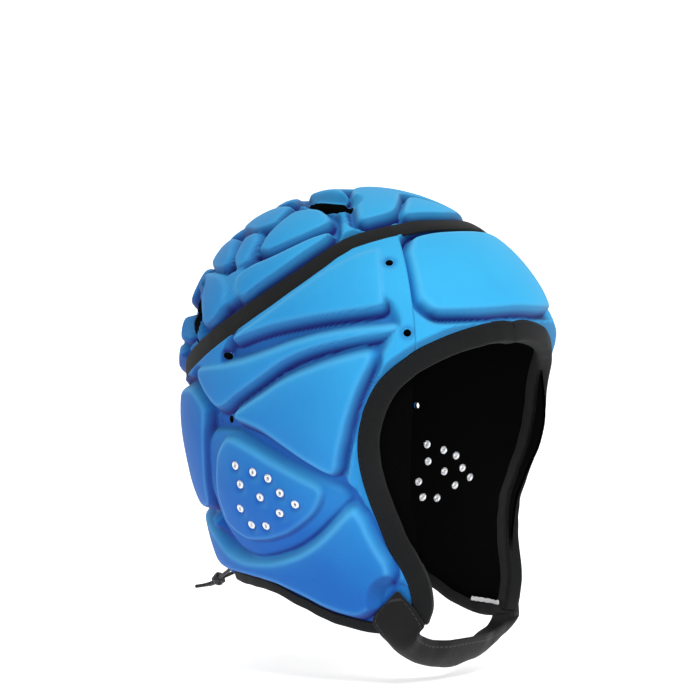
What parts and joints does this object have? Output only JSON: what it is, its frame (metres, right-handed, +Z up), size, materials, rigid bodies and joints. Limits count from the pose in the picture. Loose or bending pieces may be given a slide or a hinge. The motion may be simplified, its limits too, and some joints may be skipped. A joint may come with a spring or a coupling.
{
  "type": "rugby scrum cap",
  "caption": "Soft padded head guard with moulded foam pads, perforated ear pads, an open face, a chin strap and a nape lace.",
  "frame": {"origin": "middle of the wearer's head, level with the brow, where the cap sits", "axes": "+Z up to the crown, -Y the way the wearer faces, -X the wearer's right hand"},
  "size_m": [0.187, 0.2393, 0.2682],
  "materials": {
    "panel": "blue knit fabric moulded over closed-cell foam",
    "lining": "matt black jersey",
    "tape": "matt black ribbed stretch tape",
    "strap": "dark grey soft webbing, black inside",
    "eyelet": "bright rolled rims",
    "lace": "matt black round braided cord"
  },
  "bodies": {
    "root": {"lining": "lining", "crown_panel": "panel", "forehead_panel": "panel", "side_panel_right": "panel", "side_panel_left": "panel", "crown_band": "tape", "face_binding": "tape", "hem_binding_right": "tape", "hem_binding_left": "tape", "chin_strap": "strap", "nape_lace": "lace", "ear_eyelet_right_01": "eyelet", "ear_eyelet_right_02": "eyelet", "ear_eyelet_right_03": "eyelet", "ear_eyelet_right_04": "eyelet", "ear_eyelet_right_05": "eyelet", "ear_eyelet_right_06": "eyelet", "ear_eyelet_right_07": "eyelet", "ear_eyelet_right_08": "eyelet", "ear_eyelet_right_09": "eyelet", "ear_eyelet_right_10": "eyelet", "ear_eyelet_right_11": "eyelet", "ear_eyelet_left_01": "eyelet", "ear_eyelet_left_02": "eyelet", "ear_eyelet_left_03": "eyelet", "ear_eyelet_left_04": "eyelet", "ear_eyelet_left_05": "eyelet", "ear_eyelet_left_06": "eyelet", "ear_eyelet_left_07": "eyelet", "ear_eyelet_left_08": "eyelet", "ear_eyelet_left_09": "eyelet", "ear_eyelet_left_10": "eyelet", "ear_eyelet_left_11": "eyelet", "lace_strand_right": "lace", "lace_strand_left": "lace", "lace_tail_right": "lace", "lace_tail_left": "lace", "lace_knot": "lace"}
  },
  "joints": []
}
